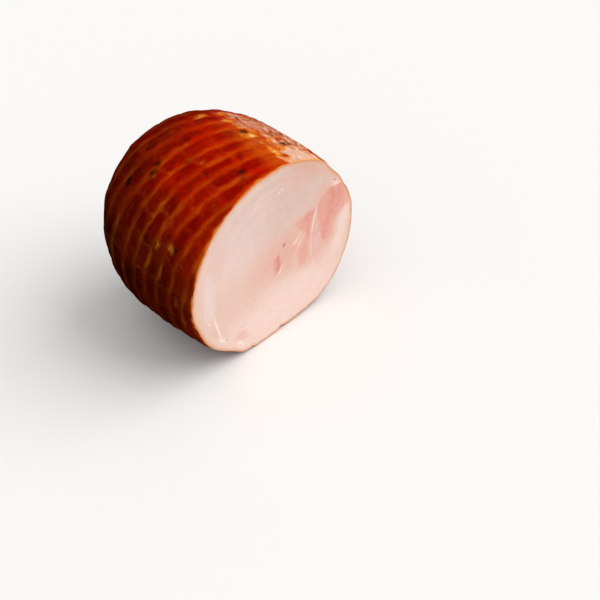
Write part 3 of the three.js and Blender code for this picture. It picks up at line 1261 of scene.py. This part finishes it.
@dataclass
class GrilledHam:
    """The half ham as one closed mesh: cut face, rounded rim and net-marked skin."""

    body: HamBody = field(default_factory=HamBody)
    net: Net = field(default_factory=Net)
    scallops: tuple[Scallop, ...] = (
        Scallop(42.5, 3.5, 9.0, 1.0),
        Scallop(33.0, 3.0, 8.0, -0.4),
        Scallop(106.0, 7.0, 9.0, -1.1),
        Scallop(140.0, 11.0, 9.0, -0.8),
        Scallop(178.0, 12.0, 10.0, -1.4),
        Scallop(213.0, 8.0, 9.0, -1.5),
        Scallop(-10.0, 12.0, 8.0, -0.8),
        Scallop(-89.2, 1.7, 4.0, 2.4),
        Scallop(-86.5, 2.2, 5.0, 0.9),
        Scallop(-121.0, 5.0, 6.0, -1.0),
        Scallop(-114.0, 1.7, 4.0, 1.4),
        Scallop(-107.0, 1.4, 3.0, 0.6),
        Scallop(-62.0, 2.0, 3.0, 0.5),
        Scallop(-48.0, 1.6, 3.0, 0.45),
    )
    columns: int = 384
    skin_spacing: float = 1.2
    face_spacing: float = 0.8
    rim_radius: float = 0.8
    rim_steps: int = 4
    lumps: Unevenness = Unevenness(26.0, 3)
    wrinkles: Unevenness = Unevenness(6.0, 4)
    lump_height: float = 0.3
    wrinkle_height: float = 0.1
    bare_patch: SkinPatch = SkinPatch((50.0, 76.0), (-9.0, 8.5), 9.0, 5.0)
    mottled_band: SkinPatch = SkinPatch((40.0, 74.0), (6.0, 66.0), 8.0, 14.0)
    bare_depth: float = 0.5
    amber: RidgeStretch = RidgeStretch(81.0, 10.0, (20.0, 75.0), 0.75)
    greasy: RidgeStretch = RidgeStretch(64.0, 20.0, (60.0, 90.0), 1.0)
    greasy_floor: float = 0.15
    browning_and_shade: BrowningAndShade = BrowningAndShade()
    net_lines: NetLines = NetLines()
    upright_rim: Span = (2.0, 12.0)
    hidden_spots: int = 34
    hidden_seed: int = 21
    # A hidden spot's angle, distance behind the cut, reach around, reach along and strength.
    hidden_limits: tuple[Span, ...] = ((-150, 45), (10, 112), (3, 7), (2, 4), (0.4, 0.9))

    def skin_spots(self) -> list[SkinSpot]:
        """Scorched and golden marks: those that show, listed one by one, and the rest by a seeded draw."""
        charred = (
            (124, 76, 20.0, 14.0, 0.42),
            (121, 65, 5.0, 4.0, 0.8),
            (127, 63, 4.5, 4.0, 0.8),
            (137, 78, 6.0, 3.5, 0.9),
            (103, 61, 6.0, 3.0, 0.6),
            (112, 47, 5.0, 3.0, 0.45),
            (152, 20, 3.0, 3.0, 0.9),
            (148, 27, 3.0, 2.5, 0.6),
            (106, 9, 5.0, 3.0, 0.5),
            (96, 24, 5.0, 2.5, 0.5),
            (80, 41, 4.0, 3.5, 0.7),
            (79, 31, 2.5, 2.5, 0.7),
            (70, 19, 2.5, 3.0, 0.95),
            (103, 14, 5.0, 4.0, 0.55),
            (64, 50, 2.0, 2.0, 0.9),
            (65, 29, 1.5, 5.0, 0.8),
            (73, 28, 2.5, 3.0, 0.6),
        )
        golden = (
            (154, 35, 4.0, 2.5, 0.7),
            (153, 24, 3.5, 3.0, 0.75),
            (79, 35, 3.0, 3.5, 1.5),
            (82, 38, 2.5, 4.0, 1.0),
            (80, 14, 2.5, 6.0, 1.3),
            (78, 46, 4.0, 4.0, 0.8),
            (77, 58, 4.0, 5.0, 0.8),
            (84, 75, 5.0, 3.0, 0.8),
            (110, 38, 2.5, 1.5, 0.5),
            (128, 60, 2.5, 1.5, 0.5),
            (178, 14, 6.0, 3.0, 0.32),
        )
        pale = (
            (72, 32, 3.0, 3.5, 1.2),
            (71, 25, 2.0, 4.0, 1.1),
            (67, 15, 3.0, 2.5, 0.9),
            (69, 44, 2.0, 4.5, 0.9),
        )
        seen = ((SpotKind.CHAR, charred), (SpotKind.GOLD, golden), (SpotKind.WHITE, pale))
        spots = [SkinSpot(kind, *row) for kind, rows in seen for row in rows]
        draw = np.random.default_rng(self.hidden_seed)
        for number in range(self.hidden_spots):
            kind = SpotKind.CHAR if number % 2 else SpotKind.GOLD
            spots.append(SkinSpot(kind, *(draw.uniform(*limits) for limits in self.hidden_limits)))
        return spots

    def skin_rings(self, angles: Array) -> tuple[Array, dict[str, Array]]:
        """Rings of the marked skin from behind the rim to the tip.

        Args:
            angles: Directions of the columns.

        Returns:
            Points (rings, columns, 3), the last ring all at the tip, and the skin's attributes.
        """
        shares = np.append(self.body.ring_shares(self.rim_radius, self.skin_spacing), 1.0)
        along, angle = np.meshgrid(shares, angles, indexing="ij")
        base = self.body.skin(along, angle)
        marks = self.net.marks(self.body, base)
        places = SkinPlaces.of(self.body, base)
        bare = self.bare_patch.cover(*places.ragged())
        height = self.net.relief(self.body, base, marks)
        rough = self.lump_height * self.lumps.at(base) + self.wrinkle_height * self.wrinkles.at(base)
        height += rough * smooth(base[..., 2], self.net.rest_from, self.net.rest_to)
        bites = sum(scallop.depth_at(places.facing, places.behind) for scallop in self.scallops)
        height -= bites + self.bare_depth * bare
        points = base + self.normals(base) * height[..., None]
        points[-1] = points[-1].mean(axis=0)
        points[0, :, 1] = base[0, :, 1]
        return points, self.skin_attributes(places, marks, bare)

    def normals(self, base: Array) -> Array:
        """Outward unit normals of a grid of rings; beside the cut they point straight outward."""
        down = np.gradient(base, axis=0)
        ahead = np.roll(base, -1, axis=1)
        behind = np.roll(base, 1, axis=1)
        outward = np.cross(down, ahead - behind)
        outward[..., 1] *= smooth(base[..., 1], *self.upright_rim)
        outward[-1] = (0.0, 1.0, 0.0)
        return outward / np.linalg.norm(outward, axis=-1, keepdims=True)

    def skin_attributes(self, places: SkinPlaces, marks: NetMarks, bare: Array) -> dict[str, Array]:
        """Fields that the skin's finish reads, one value per point.

        Args:
            places: Where the points of the skin lie.
            marks: The net's marks there.
            bare: Cover of the bare fat patch.

        Returns:
            Attribute name to values.
        """
        amber = self.amber.cover(places)
        lines, cells = self.net_lines.at(places, marks, amber)
        fields = {
            "net": lines,
            "net_down": self.net.coordinates(self.body, places.base)[0],
            "cell": cells,
            "amber": amber,
            "brown_and_shade": self.browning_and_shade.at(places),
            "near_cut": places.behind + 0.5 * places.small,
            "greasy": np.clip(self.greasy.cover(places) - self.greasy_floor, 0, 1),
            "mottle": self.mottled_band.cover(*places.ragged()),
            "bare": bare,
        }
        for kind in SpotKind:
            fields[kind.value] = np.zeros(places.behind.shape)
        for spot in self.skin_spots():
            name = spot.kind.value
            fields[name] = np.maximum(fields[name], spot.cover(places, self.body.far_radius))
        return fields

    def rim_and_face(self, first: Array) -> tuple[Array, Array]:
        """Rings from the middle of the cut face to the rim.

        Args:
            first: The skin's first ring.

        Returns:
            Rings of the face (first one all at its middle), and rings of the rounded rim.
        """
        x, z = self.body.centre(np.zeros(1))
        middle = np.array([x[0], 0.0, z[0]])
        outward = first - middle
        outward[:, 1] = 0.0
        reach = np.linalg.norm(outward, axis=1, keepdims=True)
        outward = outward / reach
        rim = []
        for step in range(self.rim_steps):
            turn = math.pi / 2 * step / self.rim_steps
            inset = self.rim_radius * (1 - math.sin(turn))
            ring = middle + outward * (reach - inset)
            ring[:, 1] = self.rim_radius * (1 - math.cos(turn))
            rim.append(ring)
        rings = int(self.body.far_radius / self.face_spacing)
        shares = np.linspace(0, 1, rings + 1)[:-1]
        face = middle + shares[:, None, None] * outward * (reach - self.rim_radius)
        return face, np.array(rim)

    def face_attributes(self, points: Array, reach: Array) -> tuple[dict[str, Array], Array]:
        """Fields that the meat's finish reads, and how deep the face lies.

        Args:
            points: Points of the face and rim.
            reach: Distance of each point inward from the rim.

        Returns:
            Attribute name to values, and depth behind the knife's plane at each point.
        """
        warp = Unevenness(15.0, 31).at(points) + 0.5 * Unevenness(5.0, 34).at(points)
        other = Unevenness(15.0, 32).at(points) + 0.5 * Unevenness(5.0, 35).at(points)
        fields = {tone.value: np.zeros(reach.shape) for tone in Tone}
        for bend, parts in ((1.6, face_fields()), (0.7, face_muscles()), (0.3, face_streaks())):
            u = points[..., 0] + bend * warp
            v = points[..., 2] - self.body.section_height + bend * other
            for part in parts:
                name = part.tone.value
                fields[name] = np.maximum(fields[name], part.cover(u, v))
        fields["inward"] = reach
        to_lower_right = points[..., 0] - points[..., 2] + self.body.section_height
        fields["browned"] = smooth(to_lower_right, -20.0, 60.0)
        depth = 0.10 * fields[Tone.PINK.value] + 0.22 * fields[Tone.SEAM.value]
        depth += 0.35 * fields[Tone.DARK.value] + 0.06 * (1 + Unevenness(11.0, 33).at(points))
        return fields, np.clip(depth, 0.0, 1.0) * smooth(reach, 0.0, 2.0)

    def build(self) -> bpy.types.Object:
        """Builds the mesh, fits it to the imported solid's box and dresses it.

        Returns:
            The finished ham.
        """
        angles = np.linspace(0, 2 * math.pi, self.columns, endpoint=False)
        skin, skin_fields = self.skin_rings(angles)
        face, rim = self.rim_and_face(skin[0])
        front = np.concatenate([face, rim])
        reach = np.linalg.norm((skin[0] - front) * (1, 0, 1), axis=-1)
        meat_fields, depth = self.face_attributes(front, reach)
        front[..., 1] += depth

        rings = np.concatenate([front, skin])
        fields = {}
        for name, values in skin_fields.items():
            edge = np.broadcast_to(values[0], front.shape[:-1])
            fields[name] = np.concatenate([edge, values])
        for name, values in meat_fields.items():
            fields[name] = np.concatenate([values, np.zeros(skin.shape[:-1])])
        rings[..., 2] = np.maximum(rings[..., 2], 0.0)

        ham = self.mesh_from_rings(self.fit_to_box(rings), len(face), fields)
        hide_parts(NODE)
        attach(ham, BODY)
        return ham

    def fit_to_box(self, rings: Array) -> Array:
        """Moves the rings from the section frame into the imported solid's box, in metres."""
        low, high = (np.array(corner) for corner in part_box(NODE))
        own_low = rings.reshape(-1, 3).min(axis=0)
        own_high = rings.reshape(-1, 3).max(axis=0)
        scale = (high - low) / (own_high - own_low)
        LOG.info("fit to the solid's box: %s", np.round(scale / MM, 4))
        return low + (rings - own_low) * scale

    def mesh_from_rings(self, rings: Array, face_rings: int, fields: dict[str, Array]) -> bpy.types.Object:
        """Makes one closed mesh from rings whose first and last are single points.

        Args:
            rings: Points (rings, columns, 3) in metres.
            face_rings: How many of the first rings lie on the cut face.
            fields: Values for each point of the rings, by attribute name.

        Returns:
            The mesh object, smooth shaded, with both materials.
        """
        count, columns = rings.shape[:2]
        inner = rings[1:-1].reshape(-1, 3)
        points = np.concatenate([rings[0, :1], inner, rings[-1, :1]])
        last = len(points) - 1
        place = np.arange(columns)
        beside = (place + 1) % columns
        faces: list[tuple[int, ...]] = []
        faces += [(0, 1 + a, 1 + b) for a, b in zip(place, beside)]
        for ring in range(count - 3):
            near = 1 + ring * columns
            far = near + columns
            faces += [(near + a, far + a, far + b, near + b) for a, b in zip(place, beside)]
        edge = 1 + (count - 3) * columns
        faces += [(edge + b, edge + a, last) for a, b in zip(place, beside)]

        mesh = bpy.data.meshes.new("grilled_ham")
        mesh.from_pydata(points.tolist(), [], faces)
        mesh.validate()
        for name, values in fields.items():
            flat = np.concatenate([values[0, :1], values[1:-1].ravel(), values[-1, :1]])
            layer = mesh.attributes.new(name, "FLOAT", "POINT")
            layer.data.foreach_set("value", flat.astype(np.float32))
        meat_faces = columns * (face_rings + self.rim_steps // 2)
        slots = np.full(len(mesh.polygons), HamMaterial.SKIN.value, np.int32)
        slots[:meat_faces] = HamMaterial.MEAT.value
        mesh.polygons.foreach_set("material_index", slots)
        mesh.polygons.foreach_set("use_smooth", np.ones(len(mesh.polygons), bool))
        mesh.materials.append(SkinFinish().make())
        mesh.materials.append(MeatFinish().make())
        ham = bpy.data.objects.new("grilled_ham", mesh)
        bpy.context.scene.collection.objects.link(ham)
        return ham


# ---------------------------------------------------------------------------
# Studio
# ---------------------------------------------------------------------------


@dataclass(frozen=True)
class Lamp:
    """A broad, distant soft light."""

    name: str
    direction: tuple[float, float, float]
    strength: float
    spread_deg: float

    def build(self) -> None:
        """Adds the light."""
        light = bpy.data.lights.new(self.name, "SUN")
        light.energy = self.strength
        light.angle = math.radians(self.spread_deg)
        lamp = bpy.data.objects.new(self.name, light)
        lamp.rotation_mode = "QUATERNION"
        lamp.rotation_quaternion = Vector(self.direction).to_track_quat("Z", "Y")
        bpy.context.scene.collection.objects.link(lamp)


@dataclass(frozen=True)
class Studio:
    """A plain pale floor, soft light from the right and above, and the camera."""

    floor_size_m: float = 12.0
    floor_colour: Colour = srgb(244, 243, 241)
    sky_colour: Colour = (1.0, 1.0, 1.0, 1.0)
    sky_strength: float = 0.36
    lamps: tuple[Lamp, ...] = (
        Lamp("key", (0.62, -0.5, 0.75), 1.8, 60.0),
        Lamp("top", (0.1, 0.1, 1.0), 0.8, 130.0),
        Lamp("front", (-0.35, -1.0, 0.5), 0.4, 100.0),
    )
    camera_place: tuple[float, float, float] = (-353.4, -418.6, 481.0)
    camera_aim: tuple[float, float, float] = (37.0, -48.9, 0.0)
    focal_share: float = 938.4 / 600
    sensor_mm: float = 36.0

    def floor(self) -> None:
        """Builds the floor."""
        half = self.floor_size_m / 2
        square = [(-half, -half, 0), (half, -half, 0), (half, half, 0), (-half, half, 0)]
        mesh = bpy.data.meshes.new("floor")
        mesh.from_pydata(square, [], [(0, 1, 2, 3)])
        graph = Graph("pale_floor")
        graph.principled({"Base Color": self.floor_colour, "Roughness": 0.9, "Specular IOR Level": 0.1})
        mesh.materials.append(graph.material)
        floor = bpy.data.objects.new("floor", mesh)
        bpy.context.scene.collection.objects.link(floor)

    def light(self) -> None:
        """Adds the sky and the lamps."""
        world = bpy.data.worlds.new("studio")
        world.use_nodes = True
        background = world.node_tree.nodes["Background"]
        background.inputs["Color"].default_value = self.sky_colour
        background.inputs["Strength"].default_value = self.sky_strength
        bpy.context.scene.world = world
        for lamp in self.lamps:
            lamp.build()

    def camera(self) -> None:
        """Adds the camera at the photograph's angle."""
        data = bpy.data.cameras.new("camera")
        data.sensor_fit = "HORIZONTAL"
        data.sensor_width = self.sensor_mm
        data.lens = self.focal_share * self.sensor_mm
        camera = bpy.data.objects.new("camera", data)
        place = Vector(self.camera_place) * MM
        aim = Vector(self.camera_aim) * MM
        camera.location = place
        camera.rotation_mode = "QUATERNION"
        camera.rotation_quaternion = (aim - place).to_track_quat("-Z", "Y")
        bpy.context.scene.collection.objects.link(camera)
        bpy.context.scene.camera = camera

    def build(self) -> None:
        """Builds floor, light and camera, and shows colours as they are."""
        self.floor()
        self.light()
        self.camera()
        bpy.context.scene.view_settings.view_transform = "Standard"


def main() -> None:
    """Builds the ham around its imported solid, and the studio."""
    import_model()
    Studio().build()
    ham = GrilledHam().build()
    LOG.info("%s: %d points, %d faces", ham.name, len(ham.data.vertices), len(ham.data.polygons))


if __name__ == "__main__":
    logging.basicConfig(level=logging.INFO, format="%(name)s: %(message)s")
    main()
